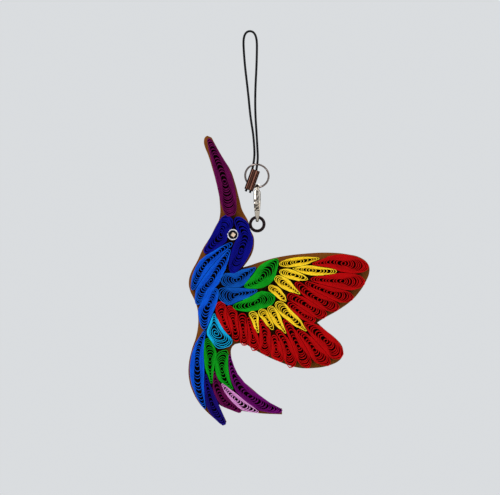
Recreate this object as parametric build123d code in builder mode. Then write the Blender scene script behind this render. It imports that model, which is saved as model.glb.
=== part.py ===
"""Quilled paper hummingbird charm, hanging from a thin corded strap by a crimp, a jump ring and a lobster
clasp. Millimetres, +Z up, the front faces -Y. The origin is the underside of the cord at the top of its loop."""

import os
from collections import namedtuple
from math import cos, hypot, radians, sin

from build123d import *

os.makedirs("parts", exist_ok=True)

# Driving dimensions of the bird

bird_height = 89.9
board_thickness = 2.0
paper_depth = 3.0
lug_outer_d = 5.2
lug_hole_d = 3.3
lug_link_width = 1.5
lug_link_turn = 194.5
bird_side_gap = 0.11
coil_band = 0.5
coil_gap = 0.14
end_wall = 0.22
coil_heart = 0.42
dent_slope = 0.6
eye_ring_d = bird_height * 0.03893
eye_ring_wall = bird_height * 0.00445
eye_fit = 0.04
glint_side = bird_height * 0.01335
glint_depth = 0.3
glint_turn = 9

# Driving dimensions of the strap and its metal parts

cord_d = 0.7
loop_radius = 2.1
crimp_length = 6.6
barrel_d = 1.5
barrel_spacing = 1.36
crimp_below_ring = 1.09
crimp_before_ring = 0.9
crimp_behind_ring = 0.39
crimp_top_turn = 85
crimp_bore_fit = 0.02
cord_tail = 0.7
bail_bore_d = 1.0
bail_wall = 0.3
bail_length = 0.9
bail_turn = 235
ring_outer_d = 8.0
ring_wire_d = 0.7
ring_tilt = 14
ring_yaw = 6
clasp_width = 2.2
clasp_eye_d = 2.7
clasp_eye_bore_d = 1.6
clasp_eye_drop = 0.32
clasp_edge = 0.2
hook_wire_d = 0.95
hook_flat = 2.3
hook_root = 0.35
channel_width = 0.9
lever_fit = 0.05
pin_d = 0.6
pin_fit = 0.02
spring_wire_d = 0.24
bail_reach = 1.3
web_depth = 1.2
soft_share = 0.45

# Places

strap_x = 2.23
pivot_z = -48.05
hook_drop = 10.33
hook_play = 0.105
lug_drop = hook_drop + lug_hole_d / 2 - hook_wire_d / 2 - hook_play
lug_z = pivot_z - lug_drop
board_front = board_thickness / 2

# The coils. Each row: centre of the round end and the point, both from the lug hole's centre to the right and
# up; widest width; how far the middle bends to the left of the way from round end to point; how blunt the round
# end and the point are (smaller is blunter); where the bend is greatest.

Coil = namedtuple("Coil", "end tip width bend blunt_end blunt_tip bend_at", defaults=(0.5,))

coils = {
    "beak": Coil((-8.45, 2.3), (-15.1, 27.15), 5.4, -1.3, 0.45, 0.85),
    "crown": Coil((-8.95, 2.45), (-16.75, -9.3), 5.3, 1.4, 0.36, 0.75),
    "nape": Coil((-7.55, -15.7), (-6.0, 2.7), 6.4, -2.45, 0.55, 0.85, 0.6),
    "throat_1": Coil((-20.3, -20.4), (-7.3, -5.6), 3.35, 1.85, 0.6, 0.65),
    "throat_2": Coil((-18.3, -24.7), (-8.2, -7.45), 5.0, 0.2, 0.55, 0.7),
    "throat_3": Coil((-12.5, -19.8), (-16.6, -32.75), 5.2, -0.85, 0.6, 0.7),
    "belly": Coil((-10.3, -38.5), (-13.1, -26.9), 7.6, 1.1, 0.45, 1.35, 0.65),
    "shoulder_1": Coil((-11.3, -17.7), (-0.05, -13.1), 4.5, -1.6, 0.45, 0.8),
    "shoulder_2": Coil((-12.1, -21.5), (0.6, -20.35), 4.5, -0.95, 0.4, 0.8),
    "leaf_1": Coil((-3.6, -19.5), (6.7, -10.35), 6.5, -0.7, 0.5, 0.7),
    "leaf_2": Coil((5.6, -22.5), (-8.0, -25.65), 5.3, 0.1, 0.42, 0.6),
    "bar_1": Coil((6.7, -12.45), (20.15, -10.65), 2.8, 0.1, 0.5, 0.8),
    "bar_2": Coil((10.75, -13.75), (25.15, -14.7), 3.45, -0.2, 0.9, 0.62),
    "bar_3": Coil((6.75, -14.55), (16.2, -17.4), 2.85, 0.2, 0.5, 0.75),
    "bar_4": Coil((5.4, -16.35), (14.0, -22.25), 3.2, 0.1, 0.5, 0.8),
    "bar_5": Coil((3.55, -19.05), (9.65, -24.65), 2.65, 0.3, 0.5, 0.8),
    "bar_6": Coil((-1.75, -26.9), (0.5, -34.4), 3.45, 0.0, 0.5, 0.85),
    "bar_7": Coil((0.85, -26.25), (5.15, -33.15), 3.2, 0.0, 0.5, 0.8),
    "bar_8": Coil((3.6, -25.35), (9.3, -34.8), 3.2, 0.15, 0.5, 0.8),
    "bar_9": Coil((5.7, -24.1), (16.0, -33.85), 4.2, 0.15, 0.5, 0.85),
    "plume_1": Coil((34.55, -13.2), (16.35, -12.35), 5.7, -0.75, 0.45, 1.1),
    "plume_2": Coil((33.5, -18.2), (16.0, -17.0), 5.5, 0.1, 0.45, 0.9),
    "plume_3": Coil((29.8, -23.2), (14.2, -17.9), 4.7, 0.45, 0.42, 0.85),
    "plume_4": Coil((25.3, -26.4), (11.05, -17.85), 4.9, 0.45, 0.42, 0.8),
    "plume_5": Coil((21.6, -28.9), (9.8, -21.9), 4.5, 0.1, 0.42, 0.8),
    "plume_6": Coil((17.9, -30.4), (9.65, -24.2), 3.8, 0.25, 0.42, 0.8),
    "plume_7": Coil((26.5, -40.5), (14.0, -30.0), 5.3, 0.25, 0.42, 0.75),
    "plume_8": Coil((21.7, -44.3), (11.95, -32.4), 5.0, -0.3, 0.42, 0.75),
    "plume_9": Coil((15.8, -45.1), (7.7, -29.0), 5.2, -0.7, 0.42, 0.85),
    "plume_10": Coil((10.9, -44.9), (5.9, -32.0), 4.9, -0.7, 0.42, 0.85),
    "plume_11": Coil((6.9, -43.2), (4.9, -33.5), 5.0, -0.2, 0.42, 0.85),
    "plume_12": Coil((2.85, -41.25), (0.9, -28.9), 4.6, -0.5, 0.42, 0.85),
    "plume_13": Coil((-0.7, -39.8), (-2.9, -28.3), 4.5, -0.2, 0.42, 0.8),
    "plume_14": Coil((-3.8, -38.2), (-4.8, -27.0), 4.3, 0.0, 0.42, 0.5),
    "plume_15": Coil((-8.8, -25.4), (-5.95, -36.9), 4.4, 0.0, 0.45, 0.65),
    "plume_16": Coil((-11.6, -24.2), (-8.05, -34.6), 3.9, -0.6, 0.5, 0.65),
    "tail_blue": Coil((-16.1, -33.15), (-16.0, -57.6), 4.6, -2.5, 0.65, 0.7),
    "tail_navy": Coil((-9.85, -62.2), (-15.85, -45.6), 4.0, 1.6, 0.45, 0.85),
    "tail_leaf_1": Coil((-15.6, -35.6), (-14.1, -50.3), 3.7, 0.4, 0.45, 0.9),
    "tail_leaf_2": Coil((-10.4, -39.0), (-6.7, -52.1), 5.4, -2.0, 0.42, 1.1),
    "tail_wine": Coil((-5.15, -58.4), (-13.35, -44.3), 3.7, 2.6, 0.45, 0.75),
    "tail_pink": Coil((-11.0, -49.2), (0.95, -58.7), 3.7, -1.1, 0.7, 0.7),
    "tail_purple": Coil((7.8, -58.15), (-8.7, -39.4), 5.0, 4.9, 0.4, 0.72, 0.53),
}

eye_at = (-7.55, -3.3)

# The board's outline, from the lug hole's centre, going round from the beak's point on the photo's left

board_outline = [
    (-15.5, 27.4), (-16.2, 26.85), (-16.5, 25.8), (-16.4, 24.6), (-15.2, 21.4), (-14.2, 18.3),
    (-12.1, 10.2), (-11.65, 7.4), (-11.75, 1.6), (-13.0, -0.9), (-14.55, -4.0), (-16.65, -7.3),
    (-18.5, -11.3), (-20.5, -15.1), (-21.2, -18.0), (-20.75, -20.7), (-19.5, -23.35), (-18.6, -25.9),
    (-18.3, -28.5), (-18.3, -31.2), (-19.0, -35.15), (-20.2, -38.7), (-21.25, -43.95), (-21.0, -48.6),
    (-20.1, -51.5), (-18.4, -54.8), (-16.05, -57.7), (-13.2, -60.3), (-10.6, -62.5), (-9.5, -61.3),
    (-12.0, -55.8), (-10.8, -56.5), (-5.6, -58.5), (-5.2, -57.8), (0.6, -58.6), (7.7, -58.95),
    (7.7, -57.2), (5.5, -56.4), (-1.4, -51.2), (-6.3, -46.3), (-8.1, -40.5), (-7.9, -38.3),
    (-6.9, -37.2), (-5.1, -36.9), (-3.7, -37.2), (-0.8, -38.9), (2.1, -40.5), (7.0, -42.7),
    (12.2, -44.4), (17.6, -44.6), (22.8, -43.6), (25.6, -42.1), (26.8, -40.2), (26.3, -37.8),
    (24.2, -35.3), (21.1, -32.8), (18.6, -30.5), (21.1, -28.9), (24.7, -26.9), (29.3, -23.6),
    (31.8, -20.8), (33.6, -17.9), (34.8, -14.4), (34.3, -12.3), (31.8, -10.3), (28.3, -9.4),
    (23.0, -8.85), (14.1, -9.2), (6.7, -10.2), (1.6, -11.5), (-2.3, -12.8), (-4.4, -13.4),
    (-3.7, -12.5), (-2.25, -10.4), (-1.25, -8.0), (-1.0, -6.4), (-1.1, -4.0), (-2.1, -1.8),
    (-2.8, 0.9), (-4.65, 4.4), (-5.5, 7.6), (-6.9, 12.9), (-8.3, 16.8), (-10.3, 20.0),
    (-12.4, 23.6), (-14.1, 26.8),
]


# The rows and the outline are drawn at one size and brought to the bird's height

drawn_heights = [z for x, z in board_outline]
bird_scale = bird_height / (max(drawn_heights) - min(drawn_heights))


def to_size(point):
    """A drawn point at the bird's real size."""
    return (point[0] * bird_scale, point[1] * bird_scale)


for name, row in coils.items():
    coils[name] = row._replace(
        end=to_size(row.end),
        tip=to_size(row.tip),
        width=row.width * bird_scale,
        bend=row.bend * bird_scale,
    )
eye_centre = to_size(eye_at)
board_points = [to_size(point) for point in board_outline]


def place(coil, t, v):
    """Point at share t of the way from round end to point, v to the left of the straight way."""
    dx = coil.tip[0] - coil.end[0]
    dz = coil.tip[1] - coil.end[1]
    length = hypot(dx, dz)
    return (coil.end[0] + dx * t - dz / length * v, coil.end[1] + dz * t + dx / length * v)


def middle(coil, t):
    """How far the coil's own middle line lies to the left at share t."""
    if t <= 0 or t >= 1:
        return 0.0
    at = coil.bend_at
    return coil.bend * (t / at) ** (at / (1 - at)) * (1 - t) / (1 - at)


def half_width(coil, t):
    """Half width of the free coil at share t."""
    if t <= 0 or t >= 1:
        return 0.0
    peak = coil.blunt_end / (coil.blunt_end + coil.blunt_tip)
    return coil.width / 2 * (t / peak) ** coil.blunt_end * ((1 - t) / (1 - peak)) ** coil.blunt_tip


def depth(coil, point):
    """0 on the coil's middle line, 1 on its free edge, more outside."""
    dx = coil.tip[0] - coil.end[0]
    dz = coil.tip[1] - coil.end[1]
    length = hypot(dx, dz)
    px = point[0] - coil.end[0]
    pz = point[1] - coil.end[1]
    t = (px * dx + pz * dz) / length**2
    if t <= 0.001 or t >= 0.999:
        return 9.0
    v = (pz * dx - px * dz) / length
    return abs(v - middle(coil, t)) / half_width(coil, t)


def taken(point, share, neighbours):
    """True where the eye or a neighbour that lies deeper holds the place."""
    if hypot(point[0] - eye_centre[0], point[1] - eye_centre[1]) < eye_ring_d / 2 + bird_side_gap / 2:
        return True
    return any(depth(other, point) < share for other in neighbours)


def pressed_width(coil, t, side, neighbours):
    """Half width on one side once the neighbours press on it."""
    free = half_width(coil, t)
    low, high = 0.0, 1.0
    for step in range(1, 25):
        share = step / 24
        if taken(place(coil, t, middle(coil, t) + side * free * share), share, neighbours):
            low, high = share - 1 / 24, share
            break
        low = share
    if low < 1:
        for _ in range(6):
            share = (low + high) / 2
            if taken(place(coil, t, middle(coil, t) + side * free * share), share, neighbours):
                high = share
            else:
                low = share
    return max(free * low - bird_side_gap / 2, 0.05)


# Where the strip is bent: all of the outer turn's places, those that the inner turns keep, and those of the
# two coils that wrap round the eye

side_places = (0.035, 0.12, 0.25, 0.38, 0.66, 0.78, 0.9)
inner_places = (0.035, 0.38, 0.66)
eye_places = {
    "crown": (0.035, 0.14, 0.2, 0.26, 0.33, 0.41, 0.6, 0.85),
    "nape": (0.035, 0.15, 0.38, 0.66, 0.88),
}


def turn_places(places):
    """One turn, from the left-out side round the point, down the other side and round the round end."""
    first = [(t, -1) for t in places if t > 0.5]
    down = [(t, 1) for t in reversed(places)]
    last = [(t, -1) for t in places if t < 0.5]
    return first + [(1.0, 0)] + down + [(0.0, 0)] + last


def wall_share(coil, t):
    """Thickness of the wound band as a share of the coil's size at this place."""
    length = hypot(coil.tip[0] - coil.end[0], coil.tip[1] - coil.end[1])
    along_side = coil_band / (coil.width / 2)
    at_tip = end_wall / ((1 - coil_heart) * length)
    at_end = end_wall / (coil_heart * length)
    if t >= 1:
        return at_tip
    if t <= 0:
        return at_end
    if t < 0.1:
        return at_end + (along_side - at_end) * 0.3
    if t < 0.2:
        return at_end + (along_side - at_end) * 0.75
    if t > 0.8:
        return at_tip + (along_side - at_tip) * 0.6
    return along_side


def strip_outline(name):
    """The wound strip as one closed outline: outer edge inwards, then back along its inner edge."""
    coil = coils[name]
    neighbours = [other for key, other in coils.items() if key != name]
    outer_places = eye_places.get(name, side_places)
    length = hypot(coil.tip[0] - coil.end[0], coil.tip[1] - coil.end[1])
    widths = {}
    for side in (-1, 1):
        dents = {t: half_width(coil, t) - pressed_width(coil, t, side, neighbours) for t in outer_places}
        for t in outer_places:
            dent = max(dents[near] - dent_slope * abs(near - t) * length for near in outer_places)
            widths[(t, side)] = max(half_width(coil, t) - dent, 0.05)
    step = (coil_band + coil_gap) / (coil.width / 2)
    stop = (coil_band + 0.1) / (coil.width / 2)
    keeps_all = coil.blunt_tip > 1 or abs(coil.bend) > 4 or name in eye_places
    kept_places = outer_places if keeps_all else inner_places
    outer, inner = [], []
    size = 1.0
    places = turn_places(outer_places)
    while size > stop:
        for t, side in places:
            if size < stop:
                break
            for edge, share in ((outer, size), (inner, size - wall_share(coil, t))):
                along = coil_heart + share * (t - coil_heart)
                across = side * share * widths.get((t, side), 0.0)
                edge.append(place(coil, along, middle(coil, along) + across))
            if len(outer) == len(turn_places(outer_places)):
                size = 1.0 - step
            elif len(outer) > len(turn_places(outer_places)):
                size -= step / len(turn_places(kept_places))
        places = turn_places(kept_places)
    return outer + inner[::-1]


bird_front = Plane(origin=(strap_x, -board_front, lug_z), x_dir=(1, 0, 0), z_dir=(0, -1, 0))

strip_bends = 0
for name in coils:
    outline = strip_outline(name)
    strip_bends += len(outline)
    with BuildPart() as wound:
        with BuildSketch(bird_front):
            with BuildLine():
                Polyline(*outline, close=True)
            make_face()
        extrude(amount=paper_depth)
    wound.part.label = f"coil_{name}"
    export_step(wound.part, f"parts/coil_{name}.step")
print("coils", len(coils), "triangles about", 4 * strip_bends)

# Eye: a white ring, a black core and the pale diamond on it

eye_place = bird_front.offset(0)
eye_place.origin = bird_front.from_local_coords((*eye_centre, 0))

with BuildPart() as eye_ring:
    with BuildSketch(eye_place):
        Circle(eye_ring_d / 2)
        Circle(eye_ring_d / 2 - eye_ring_wall, mode=Mode.SUBTRACT)
    extrude(amount=paper_depth)
eye_ring.part.label = "eye_ring"
export_step(eye_ring.part, "parts/eye_ring.step")

with BuildPart() as eye_pupil:
    with BuildSketch(eye_place):
        Circle(eye_ring_d / 2 - eye_ring_wall - eye_fit)
    extrude(amount=paper_depth)
eye_pupil.part.label = "eye_pupil"
export_step(eye_pupil.part, "parts/eye_pupil.step")

with BuildPart() as eye_glint:
    with BuildSketch(eye_place.offset(paper_depth)):
        with Locations((0.15, 0)):
            Rectangle(glint_side, glint_side, rotation=45 + glint_turn)
    extrude(amount=glint_depth)
eye_glint.part.label = "eye_glint"
export_step(eye_glint.part, "parts/eye_glint.step")

# Backing board with its lug in one piece

with BuildPart() as backing_board:
    with BuildSketch(bird_front):
        with BuildLine():
            Polyline(*board_points, close=True)
        make_face()
        Circle(lug_outer_d / 2)
        with Locations(Rotation(0, 0, lug_link_turn)):
            Rectangle(lug_outer_d / 2 + board_thickness / 4, lug_link_width, align=(Align.MIN, Align.CENTER))
        Circle(lug_hole_d / 2, mode=Mode.SUBTRACT)
    extrude(amount=-board_thickness)
backing_board.part.label = "backing_board"
export_step(backing_board.part, "parts/backing_board.step")

# Jump ring: hangs tilted, its lowest point is the pivot of the clasp

pivot = Vector(strap_x, 0, pivot_z)
ring_radius = (ring_outer_d - ring_wire_d) / 2
yaw, tilt = radians(ring_yaw), radians(ring_tilt)
ring_right = Vector(cos(yaw), -sin(yaw), 0)
ring_up = Vector(-sin(tilt) * sin(yaw), -sin(tilt) * cos(yaw), cos(tilt))
ring_centre = pivot + ring_up * ring_radius

with BuildPart() as jump_ring:
    with Locations(Plane(origin=ring_centre, x_dir=ring_right, z_dir=ring_right.cross(ring_up))):
        Torus(ring_radius, ring_wire_d / 2)
jump_ring.part.label = "jump_ring"
export_step(jump_ring.part, "parts/jump_ring.step")

# Crimp clamp: two barrels side by side, joined by a web, with a small bail behind for the ring

ring_front = ring_right.cross(ring_up)
past_ring = (ring_wire_d + barrel_d) / 2


def ring_point(turn):
    """Centre of the ring's wire at this angle."""
    return ring_centre + (ring_right * cos(turn) + ring_up * sin(turn)) * ring_radius


bail_angle = radians(bail_turn)
bail_centre = ring_point(bail_angle)
crimp_low = bail_centre + ring_front * (past_ring + crimp_before_ring)
crimp_high = ring_point(radians(crimp_top_turn)) - ring_front * ((cord_d + ring_wire_d) / 2 + crimp_behind_ring)
crimp_up = (crimp_high - crimp_low).normalized()
crimp_right = Vector(0, 1, 0).cross(crimp_up).normalized()
crimp_centre = crimp_low + crimp_up * (crimp_length / 2 - crimp_below_ring)
crimp_plane = Plane(origin=crimp_centre, x_dir=crimp_right, z_dir=crimp_up)
print("crimp centre", crimp_centre, "up", crimp_up)
bail_along = ring_up * cos(bail_angle) - ring_right * sin(bail_angle)
bail_front = Vector(0, -1, 0) - bail_along * Vector(0, -1, 0).dot(bail_along)
bail_plane = Plane(origin=bail_centre, x_dir=bail_front, z_dir=bail_along)

with BuildPart() as crimp_clamp:
    with BuildSketch(crimp_plane):
        with Locations((-barrel_spacing / 2, 0), (barrel_spacing / 2, 0)):
            Circle(barrel_d / 2)
        Rectangle(barrel_spacing, web_depth)
    extrude(amount=crimp_length / 2, both=True)
    with BuildSketch(bail_plane):
        Circle(bail_bore_d / 2 + bail_wall)
        Rectangle(bail_reach, bail_length, align=(Align.MIN, Align.CENTER))
    extrude(amount=bail_length / 2, both=True)
    with BuildSketch(bail_plane):
        Circle(bail_bore_d / 2)
    extrude(amount=bail_length, both=True, mode=Mode.SUBTRACT)
    with BuildSketch(crimp_plane):
        with Locations((-barrel_spacing / 2, 0), (barrel_spacing / 2, 0)):
            Circle(cord_d / 2 + crimp_bore_fit)
    extrude(amount=crimp_length, both=True, mode=Mode.SUBTRACT)
crimp_clamp.part.label = "crimp_clamp"
export_step(crimp_clamp.part, "parts/crimp_clamp.step")

# Cord: one length, folded to a loop, both ends through the crimp's barrels and a little beyond

exit_left = 1.3
exit_right = 0.7
left_axis = crimp_centre - crimp_right * (barrel_spacing / 2)
right_axis = crimp_centre + crimp_right * (barrel_spacing / 2)
left_end = left_axis - crimp_up * (crimp_length / 2 + cord_tail)
left_bend = left_axis + crimp_up * (crimp_length / 2 + exit_left)
right_end = right_axis - crimp_up * (crimp_length / 2 + cord_tail)
right_bend = right_axis + crimp_up * (crimp_length / 2 + exit_right)
cord_corners = [
    left_end,
    left_bend,
    Vector(1.2, -0.78, -32.6),
    Vector(0.12, -0.55, -26.3),
    Vector(-0.56, -0.36, -18.85),
    Vector(-1.8, -0.16, -8.6),
    Vector(-loop_radius - 0.1, 0, cord_d / 2),
    Vector(loop_radius + 0.1, 0, cord_d / 2),
    Vector(2.1, -0.15, -9.25),
    Vector(1.65, -0.3, -17.3),
    Vector(1.6, -0.46, -24.75),
    Vector(2.15, -0.62, -33.1),
    right_bend,
    right_end,
]
cord_radii = []
for before, corner, after in zip(cord_corners, cord_corners[1:], cord_corners[2:]):
    turn = radians((corner - before).get_angle(after - corner))
    reach = soft_share * min((corner - before).length, (after - corner).length)
    if corner == left_bend:
        reach = exit_left - 0.1
    if corner == right_bend:
        reach = exit_right - 0.1
    radius = reach * cos(turn / 2) / sin(turn / 2)
    if abs(corner.Z - cord_d / 2) < 0.01:
        radius = loop_radius
    cord_radii.append(radius)
print("cord radii", [round(radius, 1) for radius in cord_radii])

with BuildPart() as cord_loop:
    with BuildLine() as cord_route:
        FilletPolyline(*cord_corners, radius=cord_radii)
    with BuildSketch(Plane(origin=cord_route.line @ 0, z_dir=cord_route.line % 0)):
        Circle(cord_d / 2)
    sweep(path=cord_route.line)
cord_loop.part.label = "cord_loop"
export_step(cord_loop.part, "parts/cord_loop.step")
cord_length = cord_route.wires()[0].length
print("cord length", round(cord_length, 1), "volume", cord_loop.part.volume, 0.785 * cord_d**2 * cord_length)

# Lobster clasp, drawn from its side: to the back, and down from the pivot as a share of the hook's drop

clasp_side = Plane(origin=pivot, x_dir=(0, 1, 0), z_dir=(1, 0, 0))
clasp_front = Plane(origin=pivot, x_dir=(1, 0, 0), z_dir=(0, -1, 0))


def hung(rows):
    """Places given as a distance and a share of the way down from the pivot to the hook's wire."""
    return [(across, -share * hook_drop) for across, share in rows]


pin_at = hung([(1.2, 0.4066)])[0]
clasp_profile = [
    (-1.3, 0.029), (-1.75, 0.213), (-2.9, 0.484), (-3.1, 0.6776), (-2.6, 0.9003), (-1.6, 1.0261),
    (-1.1, 1.0455), (1.1, 1.0455), (2.0, 0.9971), (2.75, 0.9003), (2.85, 0.8083), (1.85, 0.8083),
    (1.65, 0.8906), (1.15, 0.9535), (-1.15, 0.9535), (-1.75, 0.8906), (-1.95, 0.7551), (-1.7, 0.6002),
    (-0.6, 0.4937), (1.0, 0.484), (2.1, 0.4453), (2.2, 0.3485), (1.6, 0.1936), (1.3, 0.029),
]
clasp_breadth = [
    (0.95, -0.1355), (1.1, -0.0387), (1.1, 0.4066), (0.95, 0.6196),
    (0.7, 0.8325), (0.5, 0.939), (0.5, 1.0842),
]
right_breadth = hung(clasp_breadth)
channel_profile = [(0.1, 0.2227), (3.5, 0.2227), (3.5, 0.5421), (0.1, 0.5421)]
lever_profile = [
    (0.7, 0.3872), (1.2, 0.3388), (1.9, 0.334), (2.35, 0.2856), (3.1, 0.2614), (3.35, 0.3098),
    (2.65, 0.3969), (2.5, 0.5324), (2.6, 0.7986), (1.8, 0.7986), (1.6, 0.5227), (0.9, 0.4743),
]

with BuildPart() as clasp_body:
    with BuildSketch(clasp_side) as clasp_shape:
        with BuildLine():
            Polyline(*hung(clasp_profile), close=True)
        make_face()
        with Locations((0, -clasp_eye_drop)):
            Circle(clasp_eye_d / 2)
    extrude(amount=clasp_width / 2, both=True)
    side_faces = clasp_body.faces().filter_by(Axis.X)
    chamfer(side_faces.edges(), clasp_edge)
    with BuildSketch(clasp_front):
        with BuildLine():
            Polyline(*right_breadth, *[(-x, z) for x, z in right_breadth[::-1]], close=True)
        make_face()
    extrude(amount=clasp_width * 2, both=True, mode=Mode.INTERSECT)
    with BuildSketch(clasp_side):
        with Locations((0, -hook_drop)):
            Rectangle(hook_flat, 2 * hook_wire_d)
    extrude(amount=clasp_width, both=True, mode=Mode.SUBTRACT)
    with BuildSketch(clasp_front):
        with Locations((0, -hook_drop)):
            Circle(hook_wire_d / 2)
    extrude(amount=hook_flat / 2 + hook_root, both=True)
    with BuildSketch(clasp_side):
        with Locations((0, -clasp_eye_drop)):
            Circle(clasp_eye_bore_d / 2)
        with Locations(pin_at):
            Circle(pin_d / 2 + pin_fit)
    extrude(amount=clasp_width, both=True, mode=Mode.SUBTRACT)
    with BuildSketch(clasp_side):
        with BuildLine():
            Polyline(*hung(channel_profile), close=True)
        make_face()
    extrude(amount=channel_width / 2, both=True, mode=Mode.SUBTRACT)
clasp_body.part.label = "clasp_body"
export_step(clasp_body.part, "parts/clasp_body.step")

with BuildPart() as clasp_lever:
    with BuildSketch(clasp_side):
        with BuildLine():
            Polyline(*hung(lever_profile), close=True)
        make_face()
        with Locations(pin_at):
            Circle(pin_d / 2 + pin_fit, mode=Mode.SUBTRACT)
    extrude(amount=channel_width / 2 - lever_fit, both=True)
clasp_lever.part.label = "clasp_lever"
export_step(clasp_lever.part, "parts/clasp_lever.step")

with BuildPart() as clasp_pin:
    with BuildSketch(clasp_side):
        with Locations(pin_at):
            Circle(pin_d / 2)
    extrude(amount=clasp_width / 2, both=True)
clasp_pin.part.label = "clasp_pin"
export_step(clasp_pin.part, "parts/clasp_pin.step")

# Spring: a thin bent wire in the channel, lying along its front wall and over the lever's back

spring_corners = [(0.3, 0.455), (0.3, 0.2536), (1.55, 0.2536), (1.8, 0.2953)]

with BuildPart() as clasp_spring:
    with BuildLine(clasp_side) as spring_route:
        FilletPolyline(*hung(spring_corners), radius=0.3)
    with BuildSketch(Plane(origin=spring_route.line @ 0, z_dir=spring_route.line % 0)):
        Circle(spring_wire_d / 2)
    sweep(path=spring_route.line)
clasp_spring.part.label = "clasp_spring"
export_step(clasp_spring.part, "parts/clasp_spring.step")
print("bail at", bail_centre, "ring centre", ring_centre)
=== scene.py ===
# %% [markdown]
# A small hummingbird made of quilled paper hangs from a thin cord. Quilling is the craft of winding narrow
# paper strips into coils, pinching them to drops and leaves, and gluing them on edge to a board. The packed
# model already holds every piece as a plain solid in its real place, so this lesson first loads that model
# and then dresses it, one material and one kind of piece at a time.

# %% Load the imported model
import bpy
import math
from collections import namedtuple
from mathutils import Matrix, Vector


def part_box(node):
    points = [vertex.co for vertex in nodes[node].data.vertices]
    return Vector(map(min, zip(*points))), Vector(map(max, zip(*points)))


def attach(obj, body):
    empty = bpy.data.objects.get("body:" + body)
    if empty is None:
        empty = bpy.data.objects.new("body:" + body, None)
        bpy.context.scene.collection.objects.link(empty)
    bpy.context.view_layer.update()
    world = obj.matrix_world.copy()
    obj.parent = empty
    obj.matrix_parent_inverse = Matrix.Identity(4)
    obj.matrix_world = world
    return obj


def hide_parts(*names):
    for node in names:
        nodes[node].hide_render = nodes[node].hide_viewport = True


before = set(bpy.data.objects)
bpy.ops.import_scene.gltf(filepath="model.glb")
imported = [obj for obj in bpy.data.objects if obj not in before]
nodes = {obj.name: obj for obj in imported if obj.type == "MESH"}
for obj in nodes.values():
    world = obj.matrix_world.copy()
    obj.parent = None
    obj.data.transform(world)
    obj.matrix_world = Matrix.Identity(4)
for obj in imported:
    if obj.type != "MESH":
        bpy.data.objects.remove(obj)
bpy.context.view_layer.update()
mm = 0.001

# %% [markdown]
# The charm is seen straight from the front through a long lens, so its left and right sides look equally
# wide. A near camera with a short lens would look onto the sides of the outer coils. So the camera stands far
# away, and its focal length follows from the distance and the width of the picture on the object.

# %% Camera
shot_width = 155 * mm
shot_centre = Vector((0, 0, -66.7 * mm))
camera_distance = 1.5
facing_front = (math.radians(90), 0, 0)
bpy.ops.object.camera_add(location=shot_centre - Vector((0, camera_distance, 0)), rotation=facing_front)
camera = bpy.context.object
camera.data.sensor_width = 36
camera.data.lens = camera.data.sensor_width * camera_distance / shot_width
camera.data.clip_start = 0.1
camera.data.clip_end = 20
bpy.context.scene.camera = camera
bpy.context.scene.view_settings.view_transform = "Standard"
print("lens", round(camera.data.lens), "mm")

# %% [markdown]
# All pieces share small jobs: finishing the mesh, giving it a material, moving it with its body and hiding
# the plain solid that it stands for. A few helpers do all of that, so no piece forgets a step.


# %% Helpers for finished pieces
def pick_only(piece):
    """Deselect everything and make this piece the only selected and active one."""
    bpy.ops.object.select_all(action="DESELECT")
    piece.select_set(True)
    bpy.context.view_layer.objects.active = piece


def apply_all(piece):
    """Apply the piece's place and then its modifiers, so that its mesh is final."""
    pick_only(piece)
    bpy.ops.object.transform_apply(location=True, rotation=True, scale=True)
    for modifier in list(piece.modifiers):
        bpy.ops.object.modifier_apply(modifier=modifier.name)


def dress(piece, name, finish, body, node):
    """Name the piece, give it its finish, tie it to its body, and hide the solid that it replaces."""
    piece.name = name
    piece.data.name = name
    piece.data.materials.clear()
    piece.data.materials.append(finish)
    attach(piece, body)
    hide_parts(node)


# %% [markdown]
# The cord is a thin braided cord, folded once: both ends sit in the clamp, and the fold is the loop it hangs
# by. A limp cord only bends softly, and a line of short straight pieces would show its corners. So its line
# is a smooth spline through a few listed points, and the spline's own bevel makes it round.

# %% Cord route, in millimetres
cord_d = 0.7
cord_points = [
    (-1.325, -2.047, -49.3),
    (1.545, -0.85, -41.28),
    (1.2, -0.78, -32.6),
    (0.12, -0.55, -26.3),
    (-0.56, -0.36, -18.85),
    (-1.8, -0.16, -8.6),
    (-2.2, 0.0, 0.35),
    (2.2, 0.0, 0.35),
    (2.1, -0.15, -9.25),
    (1.65, -0.3, -17.3),
    (1.6, -0.46, -24.75),
    (2.15, -0.62, -33.1),
    (2.625, -0.933, -42.3),
    (-0.045, -2.047, -49.76),
]
bpy.ops.object.select_all(action="DESELECT")
bpy.ops.curve.primitive_nurbs_path_add()
cord = bpy.context.object
cord.data.splines.clear()
strand = cord.data.splines.new("NURBS")
strand.points.add(len(cord_points) - 1)
for point, spot in zip(strand.points, cord_points):
    point.co = (*(Vector(spot) * mm), 1)
strand.order_u = 3
strand.use_endpoint_u = True
strand.resolution_u = 16
cord.data.dimensions = "3D"
cord.data.bevel_depth = cord_d / 2 * mm
cord.data.bevel_resolution = 4
cord.data.use_fill_caps = True
print("cord points", len(cord_points))

# %% [markdown]
# Paper, board and metal all have fine surface detail. Fibres, stains and scratches could be painted on a
# picture for each piece, but one group with noise in object coordinates can give them all: a fine mask and
# a broad blotch. Each material places the group with its own size and stretch, so it is built once.

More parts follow.
